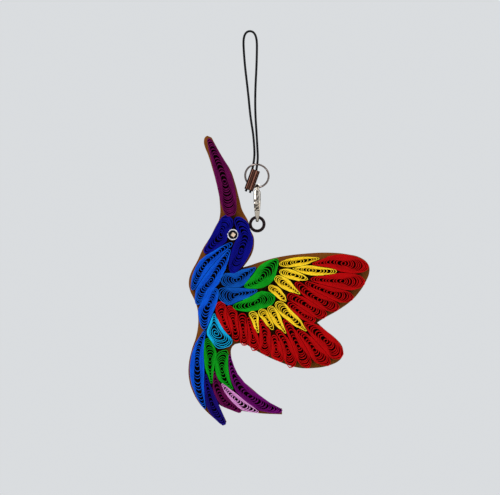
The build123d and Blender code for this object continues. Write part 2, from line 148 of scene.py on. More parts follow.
# %% Grain group
grain = bpy.data.node_groups.new("fine_grain", "ShaderNodeTree")
grain_inputs = ("Size", "Stretch X", "Stretch Y", "Stretch Z")
for socket in grain_inputs:
    grain.interface.new_socket(name=socket, in_out="INPUT", socket_type="NodeSocketFloat")
for socket in ("Mask", "Blotch"):
    grain.interface.new_socket(name=socket, in_out="OUTPUT", socket_type="NodeSocketFloat")
link = grain.links.new
group_in = grain.nodes.new("NodeGroupInput")
group_out = grain.nodes.new("NodeGroupOutput")
where = grain.nodes.new("ShaderNodeTexCoord")
stretch = grain.nodes.new("ShaderNodeCombineXYZ")
stretched = grain.nodes.new("ShaderNodeVectorMath")
stretched.operation = "MULTIPLY"
fine = grain.nodes.new("ShaderNodeTexNoise")
fine.inputs["Detail"].default_value = 5
broad = grain.nodes.new("ShaderNodeTexNoise")
broad.inputs["Scale"].default_value = 260
broad.inputs["Detail"].default_value = 2
for axis in "XYZ":
    link(group_in.outputs["Stretch " + axis], stretch.inputs[axis])
link(where.outputs["Object"], stretched.inputs[0])
link(stretch.outputs[0], stretched.inputs[1])
link(stretched.outputs[0], fine.inputs["Vector"])
link(group_in.outputs["Size"], fine.inputs["Scale"])
link(where.outputs["Object"], broad.inputs["Vector"])
link(fine.outputs["Fac"], group_out.inputs["Mask"])
link(broad.outputs["Fac"], group_out.inputs["Blotch"])
print("grain group sockets", [socket.name for socket in grain.interface.items_tree])

# %% [markdown]
# Every material here takes the same few steps: a shader with the grain group beside it, ramps that turn a
# value into a mask, mixes of two colours, and a bump. Each step is a short helper that works on a tree of
# nodes, so a material below reads like a recipe, and the world can use the helpers too.


# %% Helpers for materials
def start_material(name, roughness, metallic=0.0, specular=0.5, size=1500, stretch=(1, 1, 1)):
    """A material, its shader, and the grain group beside it with its own size and stretch."""
    finish = bpy.data.materials.new(name)
    finish.use_nodes = True
    shader = finish.node_tree.nodes["Principled BSDF"]
    shader.inputs["Roughness"].default_value = roughness
    shader.inputs["Metallic"].default_value = metallic
    shader.inputs["Specular IOR Level"].default_value = specular
    fibres = finish.node_tree.nodes.new("ShaderNodeGroup")
    fibres.node_tree = grain
    for socket, number in zip(grain_inputs, (size, *stretch)):
        fibres.inputs[socket].default_value = number
    return finish, shader, fibres


def ramp(tree, value, low, high, at_low=0.0, at_high=1.0):
    """A mask that goes from at_low to at_high while the value goes from low to high."""
    node = tree.nodes.new("ShaderNodeMapRange")
    for socket, number in (("From Min", low), ("From Max", high), ("To Min", at_low), ("To Max", at_high)):
        node.inputs[socket].default_value = number
    tree.links.new(value, node.inputs["Value"])
    return node.outputs[0]


def blend_colours(tree, factor, low, high):
    """A mix of two colours by a mask. Each is a fixed colour or the output of another node."""
    mix = tree.nodes.new("ShaderNodeMix")
    mix.data_type = "RGBA"
    tree.links.new(factor, mix.inputs["Factor"])
    # A Mix node has sockets for each type of data. Inputs 6 and 7 and output 2 are those for colours.
    for socket, colour in ((mix.inputs[6], low), (mix.inputs[7], high)):
        if isinstance(colour, tuple):
            socket.default_value = (*colour, 1)
        else:
            tree.links.new(colour, socket)
    return mix.outputs[2]


def add_bump(tree, shader, height, strength, distance):
    """Raise the surface by a height mask."""
    bump = tree.nodes.new("ShaderNodeBump")
    bump.inputs["Strength"].default_value = strength
    bump.inputs["Distance"].default_value = distance
    tree.links.new(height, bump.inputs["Height"])
    tree.links.new(bump.outputs["Normal"], shader.inputs["Normal"])


print("helpers ready, with the grain group", grain.name)

# %% [markdown]
# Coloured quilling paper is dyed right through, and matt. From the front one looks onto the cut edges,
# and between them into narrow gaps. Each strip has its own map, which runs from 0 on the outside of
# the coil to 1 in its heart, and from 0 at the board to 1 at the cut edge. The material reads it to paint
# a highlight on the cut edge, strongest on the outer turns, and to paint shade on the paper below, darker
# towards the board. The gaps of the dark papers hardly show on the real charm, so their painted shade dims
# them only by half and only near the board. The cream diamond of the eye has no such map and gets no
# painted shade at all.


# %% Paper materials
def paper(name, body_colour, highlight_colour, painted_shade_height=0.6, share_in_painted_shade=0.06):
    """Dyed paper with a painted highlight on its cut edge, and painted shade that darkens it towards the
    board.
    """
    finish, shader, fibres = start_material(name, 0.6, specular=0.05, size=2600, stretch=(1, 0.5, 1))
    tree = finish.node_tree
    strip_map = tree.nodes.new("ShaderNodeUVMap")
    strip_map.uv_map = "strip"
    split = tree.nodes.new("ShaderNodeSeparateXYZ")
    tree.links.new(strip_map.outputs["UV"], split.inputs[0])
    # Painted highlight: near the cut edge the colour turns lighter, most on the outer turns.
    painted_highlight = tree.nodes.new("ShaderNodeMath")
    painted_highlight.operation = "MULTIPLY"
    tree.links.new(ramp(tree, split.outputs["Y"], 0.8, 0.99), painted_highlight.inputs[0])
    tree.links.new(ramp(tree, split.outputs["X"], 0.0, 0.5, 1.0, 0.6), painted_highlight.inputs[1])
    highlighted_colour = blend_colours(tree, painted_highlight.outputs[0], body_colour, highlight_colour)
    faded = tuple(0.8 * part for part in body_colour)
    patches = ramp(tree, fibres.outputs["Blotch"], 0.42, 0.75, 0.0, 0.55)
    patched = blend_colours(tree, patches, highlighted_colour, faded)
    # Painted shade: below a set height on the strip the colour drops to a small share of itself.
    painted_shade_colour = tuple(share_in_painted_shade * part for part in body_colour)
    above_painted_shade = ramp(tree, split.outputs["Y"], painted_shade_height, painted_shade_height + 0.37)
    tree.links.new(blend_colours(tree, above_painted_shade, painted_shade_colour, patched), shader.inputs["Base Color"])
    add_bump(tree, shader, fibres.outputs["Mask"], 0.35, 0.03 * mm)
    return finish


# Colours of the strip's body and of its cut edge with a painted highlight, and for some papers
# how high and how dark the painted shade in the gaps is.
faint_painted_shade = (0.1, 0.5)
dyes = {
    "dark_magenta": ((0.065, 0.001, 0.036), (0.14, 0.002, 0.07), *faint_painted_shade),
    "dark_blue": ((0.001, 0.001, 0.14), (0.002, 0.003, 0.24), *faint_painted_shade),
    "bright_blue": ((0.001, 0.05, 0.52), (0.002, 0.11, 0.7)),
    "mid_blue": ((0.001, 0.045, 0.3), (0.003, 0.1, 0.48)),
    "cyan": ((0.001, 0.24, 0.48), (0.006, 0.47, 0.84)),
    "green": ((0.001, 0.21, 0.003), (0.004, 0.35, 0.012)),
    "yellow": ((0.9, 0.47, 0.002), (1.0, 0.74, 0.03)),
    "red": ((0.36, 0.001, 0.001), (0.5, 0.001, 0.002), 0.4, 0.1),
    "navy": ((0.004, 0.001, 0.09), (0.01, 0.003, 0.18), *faint_painted_shade),
    "pink": ((0.5, 0.16, 0.44), (0.74, 0.32, 0.66)),
    "purple": ((0.06, 0.001, 0.055), (0.17, 0.002, 0.16), *faint_painted_shade),
    "white": ((0.72, 0.72, 0.78), (0.9, 0.9, 0.95)),
    "black": ((0.004, 0.004, 0.006), (0.012, 0.012, 0.016)),
    "cream": ((0.8, 0.62, 0.46), (0.92, 0.8, 0.68), -1.0),
}
papers = {name: paper("paper_" + name, *dye) for name, dye in dyes.items()}
print("papers", len(papers))

# %% [markdown]
# The board is thin brown fibre board, cut with a laser: its flat face is mid brown with fine fibres, and its
# cut edge and the small lug around the hole are scorched nearly black. A face's normal tells where the cut
# edge is, and the distance from the hole tells where the lug is, so one material can do both. Between the
# coils the board lies in deep shade, which an Ambient Occlusion node finds and darkens.

# %% Board material
lug_hole = Vector((2.23, -59.45))
board_finish, shader, fibres = start_material(
    "scorched_board", 0.6, specular=0.1, size=1400, stretch=(1, 1, 0.4)
)
tree = board_finish.node_tree
link = tree.links.new
face_colour = blend_colours(tree, fibres.outputs["Mask"], (0.12, 0.028, 0.001), (0.28, 0.085, 0.003))

where = tree.nodes.new("ShaderNodeTexCoord")
flatten = tree.nodes.new("ShaderNodeVectorMath")
flatten.operation = "MULTIPLY"
flatten.inputs[1].default_value = (1, 0, 1)
link(where.outputs["Object"], flatten.inputs[0])
away = tree.nodes.new("ShaderNodeVectorMath")
away.operation = "DISTANCE"
away.inputs[1].default_value = (lug_hole.x * mm, 0, lug_hole.y * mm)
link(flatten.outputs[0], away.inputs[0])
past_lug = ramp(tree, away.outputs["Value"], 2.5 * mm, 3.6 * mm)
face_colour = blend_colours(tree, past_lug, (0.012, 0.005, 0.006), face_colour)

hollow = tree.nodes.new("ShaderNodeAmbientOcclusion")
hollow.samples = 8
hollow.inputs["Distance"].default_value = 3 * mm
in_the_open = ramp(tree, hollow.outputs["AO"], 0.22, 0.5, 0.22, 1.0)
face_colour = blend_colours(tree, in_the_open, (0.012, 0.004, 0.001), face_colour)

split = tree.nodes.new("ShaderNodeSeparateXYZ")
link(where.outputs["Normal"], split.inputs[0])
flat = tree.nodes.new("ShaderNodeMath")
flat.operation = "ABSOLUTE"
link(split.outputs["Y"], flat.inputs[0])
not_cut = ramp(tree, flat.outputs[0], 0.75, 0.98)
link(blend_colours(tree, not_cut, (0.02, 0.006, 0.003), face_colour), shader.inputs["Base Color"])
add_bump(tree, shader, fibres.outputs["Mask"], 0.4, 0.06 * mm)
print("board face, lug and cut edge in one material")

# %% [markdown]
# The fittings are all nickel plated and a bit worn. The clasp is drawn bright, the ring duller and the
# clamp nearly black: these tones are painted reflections on copies of one plating. They all have a slight
# warm tarnish from the broad blotch, and most have fine scratches. The clasp is cast and tumbled, so it has
# soft dents instead, which break up what it mirrors.


# %% Metal materials
def plated(name, bright, dull, roughness, dents=0.0):
    """Plated metal with a broad tarnish, and with fine scratches or with soft dents of a depth in mm."""
    finish, shader, fibres = start_material(name, roughness, metallic=1.0, size=900, stretch=(4, 1, 1))
    tree = finish.node_tree
    tree.links.new(blend_colours(tree, fibres.outputs["Blotch"], dull, bright), shader.inputs["Base Color"])
    worn = ramp(tree, fibres.outputs["Mask"], 0.0, 1.0, roughness - 0.06, roughness + 0.14)
    tree.links.new(worn, shader.inputs["Roughness"])
    if dents:
        add_bump(tree, shader, fibres.outputs["Blotch"], 1.0, dents * mm)
    else:
        add_bump(tree, shader, fibres.outputs["Mask"], 0.15, 0.02 * mm)
    return finish


# Painted reflections: one nickel in three tones, bright for the clasp, dull for the ring, dark for the clamp.
nickel = plated("nickel_plate", (0.4, 0.36, 0.33), (0.12, 0.07, 0.06), 0.13)
painted_bright_nickel = plated("painted_bright_nickel", (0.85, 0.82, 0.75), (0.36, 0.27, 0.16), 0.1, dents=0.8)
painted_dark_nickel = plated("painted_dark_nickel", (0.065, 0.03, 0.02), (0.018, 0.006, 0.005), 0.09)
spring_steel = plated("spring_steel", (0.7, 0.7, 0.7), (0.45, 0.44, 0.42), 0.3)
print("metals", nickel.name, painted_bright_nickel.name, painted_dark_nickel.name, spring_steel.name)

# %% [markdown]
# The cord is black and silky, with a fine diagonal braid that follows it round its bends. A pattern in object
# coordinates would stay straight while the cord bends, so the wave reads the curve's own map, which runs
# along the cord and around it.

# %% Cord material
cord_finish, shader, fibres = start_material("black_braid", 0.45, specular=0.12)
tree = cord_finish.node_tree
along = tree.nodes.new("ShaderNodeUVMap")
repeated = tree.nodes.new("ShaderNodeMapping")
repeated.inputs["Scale"].default_value = (3, 220, 1)
tree.links.new(along.outputs["UV"], repeated.inputs["Vector"])
braid = tree.nodes.new("ShaderNodeTexWave")
braid.bands_direction = "DIAGONAL"
braid.inputs["Scale"].default_value = 1
braid.inputs["Distortion"].default_value = 0.4
tree.links.new(repeated.outputs[0], braid.inputs["Vector"])
black = blend_colours(tree, braid.outputs["Fac"], (0.002, 0.002, 0.003), (0.009, 0.009, 0.011))
tree.links.new(black, shader.inputs["Base Color"])
add_bump(tree, shader, braid.outputs["Fac"], 0.6, 0.05 * mm)

dress(cord, "braided_cord", cord_finish, "strap", "cord_loop")
print("cord dressed with", cord_finish.name)

# %% [markdown]
# The board is cut along one flowing outline with a few sharp corners: the beak's point, the notches and the
# tail's ends. A plain polygon would need hundreds of points to flow. A Bezier curve can do both with few: its
# handles are automatic where the outline flows and straight where it turns a corner.

# %% Board outline, in millimetres from the lug hole
board_outline = [
    (-15.5, 27.4), (-16.2, 26.85), (-16.5, 25.8), (-16.4, 24.6), (-15.2, 21.4), (-14.2, 18.3),
    (-12.1, 10.2), (-11.65, 7.4), (-11.75, 1.6), (-13.0, -0.9), (-14.55, -4.0), (-16.65, -7.3),
    (-18.5, -11.3), (-20.5, -15.1), (-21.2, -18.0), (-20.75, -20.7), (-19.5, -23.35), (-18.6, -25.9),
    (-18.3, -28.5), (-18.3, -31.2), (-19.0, -35.15), (-20.2, -38.7), (-21.25, -43.95), (-21.0, -48.6),
    (-20.1, -51.5), (-18.4, -54.8), (-16.05, -57.7), (-13.2, -60.3), (-10.6, -62.5), (-9.5, -61.3),
    (-12.0, -55.8), (-10.8, -56.5), (-5.6, -58.5), (-5.2, -57.8), (0.6, -58.6), (7.7, -58.95),
    (7.7, -57.2), (5.5, -56.4), (-1.4, -51.2), (-6.3, -46.3), (-8.1, -40.5), (-7.9, -38.3),
    (-6.9, -37.2), (-5.1, -36.9), (-3.7, -37.2), (-0.8, -38.9), (2.1, -40.5), (7.0, -42.7),
    (12.2, -44.4), (17.6, -44.6), (22.8, -43.6), (25.6, -42.1), (26.8, -40.2), (26.3, -37.8),
    (24.2, -35.3), (21.1, -32.8), (18.6, -30.5), (21.1, -28.9), (24.7, -26.9), (29.3, -23.6),
    (31.8, -20.8), (33.6, -17.9), (34.8, -14.4), (34.3, -12.3), (31.8, -10.3), (28.3, -9.4),
    (23.0, -8.85), (14.1, -9.2), (6.7, -10.2), (1.6, -11.5), (-2.3, -12.8), (-4.4, -13.4),
    (-3.7, -12.5), (-2.25, -10.4), (-1.25, -8.0), (-1.0, -6.4), (-1.1, -4.0), (-2.1, -1.8),
    (-2.8, 0.9), (-4.65, 4.4), (-5.5, 7.6), (-6.9, 12.9), (-8.3, 16.8), (-10.3, 20.0),
    (-12.4, 23.6), (-14.1, 26.8),
]
print("outline points", len(board_outline))

# %% Board from its outline
corner_turn = math.radians(38)
board_thickness = 2.0
merge_distance = 0.001 * mm
hole_place = (lug_hole.x * mm, 0, lug_hole.y * mm)
bpy.ops.object.select_all(action="DESELECT")
bpy.ops.curve.primitive_bezier_circle_add(location=hole_place, rotation=facing_front)
board = bpy.context.object
board.data.splines.clear()
line = board.data.splines.new("BEZIER")
line.bezier_points.add(len(board_outline) - 1)
line.use_cyclic_u = True
for number, knot in enumerate(line.bezier_points):
    before, here, after = (Vector(board_outline[(number + k) % len(board_outline)]) for k in (-1, 0, 1))
    sharp = (here - before).angle(after - here) > corner_turn
    knot.co = (*(here * mm), 0)
    knot.handle_left_type = knot.handle_right_type = "VECTOR" if sharp else "AUTO"
board.data.dimensions = "2D"
board.data.fill_mode = "BOTH"
board.data.resolution_u = 6
board.data.extrude = board_thickness / 2 * mm
pick_only(board)
bpy.ops.object.convert(target="MESH")
board = bpy.context.object
apply_all(board)
bpy.ops.object.mode_set(mode="EDIT")
bpy.ops.mesh.select_all(action="SELECT")
bpy.ops.mesh.remove_doubles(threshold=merge_distance)
bpy.ops.mesh.dissolve_limited(angle_limit=math.radians(0.5))
bpy.ops.mesh.normals_make_consistent(inside=False)
bpy.ops.object.mode_set(mode="OBJECT")
print("board points", len(board.data.vertices))

# %% [markdown]
# The lug is a small disc near the top of the board, with a hole for the clasp's hook. Two round bars make
# it: the first is joined to the board, and the thinner one is cut out of it. A narrow bevel then breaks all
# the cut edges, as a light sanding does.

# %% Lug and hole
lug_d, hole_d = 5.2, 3.3
for diameter, thickness, action in (
    (lug_d, board_thickness, "UNION"),
    (hole_d, 3 * board_thickness, "DIFFERENCE"),
):
    bpy.ops.object.select_all(action="DESELECT")
    bpy.ops.mesh.primitive_cylinder_add(
        vertices=72, radius=diameter / 2 * mm, depth=thickness * mm,
        location=hole_place, rotation=facing_front,
    )
    bar = bpy.context.object
    cut = board.modifiers.new(action.lower(), "BOOLEAN")
    cut.operation = action
    cut.object = bar
    cut.solver = "EXACT"
    apply_all(board)
    bpy.data.objects.remove(bar)
rounding = board.modifiers.new("sanded_edge", "BEVEL")
rounding.width = 0.2 * mm
rounding.segments = 2
rounding.limit_method = "ANGLE"
rounding.angle_limit = math.radians(50)
apply_all(board)
bpy.ops.object.shade_smooth_by_angle(angle=math.radians(35))
dress(board, "laser_cut_board", board_finish, "bird", "backing_board")
print("board triangles", sum(len(face.vertices) - 2 for face in board.data.polygons))

# %% [markdown]
# Every coil on the board follows the same idea: it is a drop or leaf, drawn between its round end and its
# point. So one function can make them all from a table, which is easier to mend than 43 drawings. A row holds
# the two ends, measured from the centre of the board's lug hole to the right and up; the widest width; how
# far the coil bends to the left; how sharp its two ends are; its paper; and, where it isn't half way, the
# share of the length where the bend is greatest.

# %% Table of coils, in millimetres
Coil = namedtuple("Coil", "end tip width bend sharp_end sharp_tip paper bend_at", defaults=(0.5,))
coil_rows = {
    "beak": ((-8.3, 2.25), (-15.25, 27.1), 5.4, -1.25, 0.24, 0.5, "dark_magenta"),
    "crown": ((-8.6, 2.5), (-16.85, -9.4), 5.9, 1.55, 0.31, 0.55, "dark_blue"),
    "nape": ((-7.55, -15.7), (-6.35, 3.0), 6.6, -2.45, 0.55, 0.4, "dark_blue", 0.6),
    "throat_1": ((-20.3, -20.4), (-7.3, -5.6), 4.5, 2.0, 0.6, 0.65, "bright_blue"),
    "throat_2": ((-18.9, -24.9), (-8.2, -7.45), 5.5, 0.2, 0.5, 0.7, "bright_blue"),
    "throat_3": ((-12.6, -19.8), (-16.6, -33.0), 5.6, -0.85, 0.6, 0.7, "bright_blue"),
    "belly": ((-10.3, -38.5), (-13.0, -26.4), 7.7, 1.1, 0.42, 1.2, "cyan", 0.65),
    "shoulder_1": ((-11.5, -17.5), (-0.05, -13.1), 5.5, -1.5, 0.42, 0.8, "mid_blue"),
    "shoulder_2": ((-12.2, -21.7), (0.6, -20.3), 5.5, -1.0, 0.36, 0.8, "mid_blue"),
    "leaf_1": ((-4.0, -19.6), (6.7, -10.3), 6.3, -0.9, 0.7, 0.8, "green"),
    "leaf_2": ((5.6, -22.5), (-8.0, -25.65), 5.3, 0.1, 0.42, 0.6, "green"),
    "bar_1": ((6.7, -12.45), (20.15, -10.65), 2.8, 0.1, 0.5, 0.8, "yellow"),
    "bar_2": ((10.75, -13.75), (25.15, -14.7), 3.45, -0.2, 0.9, 0.62, "yellow"),
    "bar_3": ((6.75, -14.55), (16.2, -17.4), 2.85, 0.2, 0.5, 0.75, "yellow"),
    "bar_4": ((5.4, -16.35), (14.0, -22.25), 3.2, 0.1, 0.5, 0.8, "yellow"),
    "bar_5": ((3.55, -19.05), (9.65, -24.65), 2.65, 0.3, 0.5, 0.8, "yellow"),
    "bar_6": ((-1.75, -26.9), (0.5, -34.4), 3.45, 0.0, 0.5, 0.85, "yellow"),
    "bar_7": ((0.85, -26.25), (5.15, -33.15), 3.2, 0.0, 0.5, 0.8, "yellow"),
    "bar_8": ((3.6, -25.35), (9.3, -34.8), 3.2, 0.15, 0.5, 0.8, "yellow"),
    "bar_9": ((5.7, -24.1), (16.0, -33.85), 4.2, 0.15, 0.5, 0.85, "yellow"),
    "plume_1": ((34.55, -13.2), (16.35, -12.35), 5.7, -0.75, 0.45, 0.79, "red"),
    "plume_2": ((33.5, -18.2), (16.0, -17.0), 5.5, 0.1, 0.45, 0.65, "red"),
    "plume_3": ((29.8, -23.2), (14.2, -17.9), 4.7, 0.45, 0.42, 0.61, "red"),
    "plume_4": ((25.3, -26.4), (11.05, -17.85), 4.9, 0.45, 0.42, 0.58, "red"),
    "plume_5": ((21.3, -28.75), (8.9, -21.3), 4.7, 0.1, 0.42, 0.48, "red"),
    "plume_6": ((17.9, -30.4), (9.1, -23.9), 4.2, 0.25, 0.42, 0.48, "red"),
    "plume_7": ((26.3, -41.2), (14.0, -30.0), 6.2, 0.1, 0.42, 0.54, "red"),
    "plume_8": ((22.0, -44.1), (11.95, -32.4), 5.6, -0.5, 0.42, 0.54, "red"),
    "plume_9": ((15.65, -44.8), (7.7, -29.0), 5.2, -0.7, 0.42, 0.61, "red"),
    "plume_10": ((10.8, -44.5), (5.9, -32.0), 4.9, -0.7, 0.42, 0.61, "red"),
    "plume_11": ((6.85, -42.9), (4.9, -33.5), 5.0, -0.2, 0.42, 0.61, "red"),
    "plume_12": ((2.8, -41.0), (0.9, -28.9), 4.6, -0.5, 0.42, 0.61, "red"),
    "plume_13": ((-0.75, -39.35), (-2.9, -28.3), 4.5, -0.2, 0.42, 0.58, "red"),
    "plume_14": ((-3.85, -37.75), (-4.8, -27.0), 4.3, 0.0, 0.42, 0.36, "red"),
    "plume_15": ((-8.7, -25.1), (-5.95, -36.9), 4.6, 0.0, 0.45, 0.47, "red"),
    "plume_16": ((-11.8, -23.9), (-8.05, -34.6), 4.4, -0.6, 0.4, 0.47, "red"),
    "tail_blue": ((-16.2, -32.8), (-16.0, -57.6), 4.6, -2.5, 0.65, 0.7, "bright_blue"),
    "tail_navy": ((-9.85, -62.2), (-15.85, -45.6), 4.0, 1.6, 0.45, 0.85, "navy"),
    "tail_leaf_1": ((-15.5, -35.3), (-14.1, -50.3), 4.6, 0.4, 0.45, 0.9, "green"),
    "tail_leaf_2": ((-10.6, -38.9), (-6.7, -52.1), 6.2, -2.0, 0.42, 1.1, "green"),
    "tail_wine": ((-5.15, -58.4), (-13.35, -44.3), 3.7, 2.6, 0.45, 0.75, "dark_magenta"),
    "tail_pink": ((-11.0, -49.2), (0.95, -58.7), 3.7, -1.1, 0.7, 0.7, "pink"),
    "tail_purple": ((7.7, -58.1), (-8.7, -39.4), 4.7, 4.9, 0.4, 0.72, "purple", 0.53),
}
coils = {name: Coil(Vector(end), Vector(tip), *rest) for name, (end, tip, *rest) in coil_rows.items()}
print("coils", len(coils))

# %% [markdown]
# The half width along a coil is one formula: a power of the share gone times a power of the share left. A
# small power gives a blunt end and a large one a sharp point. The middle line bends by a like formula.


# %% Shape of one coil
def length_of(coil):
    """Straight length from the round end to the point."""
    return (coil.tip - coil.end).length


def place(coil, t, v):
    """Place at share t of the way from the round end to the point, v to the left of the straight way."""
    way = coil.tip - coil.end
    return coil.end + way * t + Vector((-way.y, way.x)).normalized() * v


def middle(coil, t):
    """How far the coil's own middle line lies to the left at share t."""
    if t <= 0 or t >= 1:
        return 0.0
    at = coil.bend_at
    return coil.bend * (t / at) ** (at / (1 - at)) * (1 - t) / (1 - at)


def half_width(coil, t):
    """Half width of the free coil at share t."""
    if t <= 0 or t >= 1:
        return 0.0
    peak = coil.sharp_end / (coil.sharp_end + coil.sharp_tip)
    return coil.width / 2 * (t / peak) ** coil.sharp_end * ((1 - t) / (1 - peak)) ** coil.sharp_tip


print("the longest coil", round(max(length_of(coil) for coil in coils.values()), 1), "mm")

# %% [markdown]
# Glued side by side, soft coils press each other flat, and they stop at the eye and at the board's edge.
# Moving every point by hand would take long, so the script looks for the place: a point goes outwards from
# the middle line in small steps until it lies deeper in a neighbour than in its own coil, and the last step
# is then halved a few times.

# %% Pressing a coil against its neighbours
# Lengths in millimetres, then shares of the half width.
eye_centre = Vector((-7.55, -3.3))
eye_d = 3.5
side_gap = 0.04
narrowest = 0.05
near_reach = 4
walk_step, walk_steps = 0.05, 25
halvings = 5
own_edge = 1.01
far_outside = 9.0
end_margin = 0.001


def depth(coil, point):
    """0 on the coil's middle line, 1 on its free edge, more outside."""
    way = coil.tip - coil.end
    from_end = point - coil.end
    t = from_end.dot(way) / way.length_squared
    if t <= end_margin or t >= 1 - end_margin:
        return far_outside
    v = (from_end.y * way.x - from_end.x * way.y) / way.length
    return abs(v - middle(coil, t)) / half_width(coil, t)


def taken(point, share, neighbours):
    """True where the eye or a neighbour that lies deeper holds the place."""
    if (point - eye_centre).length < eye_d / 2 + side_gap / 2:
        return True
    return any(depth(other, point) < share for other in neighbours)


def off_board(point):
    """True outside the board's outline: a line to the right crosses the outline an even number of times."""
    odd = False
    for (x0, z0), (x1, z1) in zip(board_outline, board_outline[1:] + board_outline[:1]):
        if (z0 > point.y) != (z1 > point.y) and point.x < x0 + (point.y - z0) * (x1 - x0) / (z1 - z0):
            odd = not odd
    return not odd


def pressed_width(coil, t, side, neighbours):
    """Half width on one side: up to the next coil or the board's edge if near, else the free width."""
    free = half_width(coil, t)
    centre = middle(coil, t)
    over_board = not off_board(place(coil, t, centre))

    def stopped(share):
        spot = place(coil, t, centre + side * free * share)
        return taken(spot, share, neighbours) or (over_board and share < own_edge and off_board(spot))

    for step in range(1, walk_steps + 1):
        share = step * walk_step
        if stopped(share):
            break
    else:
        return free
    low, high = share - walk_step, share
    for _ in range(halvings):
        share = (low + high) / 2
        if stopped(share):
            high = share
        else:
            low = share
    return max(free * low - side_gap / 2, narrowest)


def close_ones(name):
    """The coils near enough to press on this one."""
    near = []
    here = coils[name]
    for key, other in coils.items():
        gap = (place(other, 0.5, middle(other, 0.5)) - place(here, 0.5, middle(here, 0.5))).length
        if key != name and gap < length_of(here) / 2 + length_of(other) / 2 + near_reach:
            near.append(other)
    return near


print("coils that press on the nape", len(close_ones("nape")))

# %% [markdown]
# A side that is pressed at a few places still has steps, and real paper is too stiff for a sharp dent. So
# each dent spreads both ways with a gentle slope, and the shares are then smoothed. The two sides become one
# middle line and one half height, listed at stations that lie closer at both ends, where a coil turns round.

# %% Sides of one coil
side_stations = 40
press_places = (0.035, 0.12, 0.2, 0.3, 0.4, 0.5, 0.6, 0.7, 0.8, 0.9)
dent_slope = 0.6
smoothings = 3
tiny = 1e-9


def station(share):
    """Where a share of the coil's length lies in a list of stations, from 0 to 1."""
    return math.acos(1 - 2 * min(max(share, 0.0), 1.0)) / math.pi


def read_at(values, share):
    """Read a list of evenly spaced values at a share of its length."""
    spot = min(max(share, 0.0), 1.0) * (len(values) - 1)
    low = min(int(spot), len(values) - 2)
    return values[low] + (values[low + 1] - values[low]) * (spot - low)


def pressed_side(coil, side, neighbours, places):
    """Half widths on one side at every station, pressed and smoothed."""
    free = [half_width(coil, t) for t in press_places]
    dents = [w - pressed_width(coil, t, side, neighbours) for w, t in zip(free, press_places)]
    slope = dent_slope * length_of(coil)
    dents = [max(dent - slope * abs(at - t) for dent, at in zip(dents, press_places)) for t in press_places]
    shares = [1 - dent / w for dent, w in zip(dents, free)]
    knots = list(zip((0.0, *press_places, 1.0), (shares[0], *shares, shares[-1])))
    soft = []
    for t in places:
        (t0, s0), (t1, s1) = next(pair for pair in zip(knots, knots[1:]) if t <= pair[1][0] + tiny)
        soft.append(s0 + (s1 - s0) * (t - t0) / (t1 - t0))
    for _ in range(smoothings):
        soft = soft[:1] + [(a + 2 * b + c) / 4 for a, b, c in zip(soft, soft[1:], soft[2:])] + soft[-1:]
    return [half_width(coil, t) * share for t, share in zip(places, soft)]


def coil_sides(name):
    """Middle line and half height of the pressed coil, as lists of stations."""
    coil = coils[name]
    near = close_ones(name)
    places = [(1 - math.cos(math.pi * i / side_stations)) / 2 for i in range(side_stations + 1)]
    right = pressed_side(coil, -1, near, places)
    left = pressed_side(coil, 1, near, places)
    middles = [middle(coil, t) + (a - b) / 2 for t, a, b in zip(places, left, right)]
    heights = [(a + b) / 2 for a, b in zip(left, right)]
    return middles, heights


print("half height of the pressed belly coil", round(max(coil_sides("belly")[1]), 2), "mm")

# %% [markdown]
# A wound strip lies tight along the sides of its coil, because the coil is squeezed there, and its turns fan
# out towards the two ends. So each turn copies the coil's outline a little further in and turns round in a
# small bow at both ends. The bows are spread from the ends to the heart, and between them one looks down
# into the gaps. Near the heart the turns lie loose.
#
# One turn alone is too thin to be seen in a bow, and two or three often lie together there, so the strip is
# drawn thicker at its bows. Each paper has its own habit: how thick its bows are, the share of the coil that
# lies loose, how far apart the bows are, and the step between two loose turns. The dark papers have thick
# bows, because their coils look full, and the cyan belly is the most open one.

# %% Habits of the winding, in millimetres
Habit = namedtuple("Habit", "bow_wall open_share bow_pitch loose_step", defaults=(0.36, 0.82, 0.42))
usual_habit = Habit(0.22)
habits = {
    "dark_magenta": Habit(0.45),
    "dark_blue": Habit(0.54),
    "navy": Habit(0.46),
    "purple": Habit(0.48),
    "pink": Habit(0.34),
    "red": Habit(0.38, open_share=0.33),
    "cyan": Habit(0.2, open_share=0.7, bow_pitch=1.3, loose_step=0.55),
}
# Where the heart lies between the two ends, and how wide it stays open.
heart_share = 0.42
heart_radius = 0.35
# The step between two tight turns, and how much of it is paper.
thinnest_side, thickest_side = 0.115, 0.3
filled_share = 0.95
fewest_loose_turns = 0.6
# The bows crowd a little towards the ends and sway a bit, as bows made by hand do.
crowding = 1.25
sway, sway_rate, sway_shift = 0.16, 2.3, 5
# The least half height and length of a bow, and how far past its end the coil's height is read for it.
least_bow = 0.22
shortest_bow = 0.1
thinnest_loop = 0.06
look_past_end, look_past_tip = 0.6, 0.3
tip_bow_stretch = 1.1
samples = 200
print("papers with a habit of their own", len(habits))

# %% [markdown]
# All turns share one short list of points: a bow at the round end, one side, a bow at the coil's point and
# the other side back. Each has its kind, its angle in the bow or its share of the side, and its side, which
# is 1 for left and -1 for right. The strip's outer end lies on the right side.

# %% Points of one turn
bow_angles = [math.radians(angle) for angle in (0, 22, 45, 68, 90)]
side_parts = 7
outer_end = 9
there = [("start", a) for a in bow_angles]
there += [("side", i / side_parts) for i in range(1, side_parts)]
there += [("stop", a) for a in bow_angles[::-1]]
one_turn = [(kind, a, 1) for kind, a in there] + [(kind, a, -1) for kind, a in there[-2:0:-1]]
one_turn = one_turn[-outer_end:] + one_turn[:-outer_end]
print("points of one turn", len(one_turn))


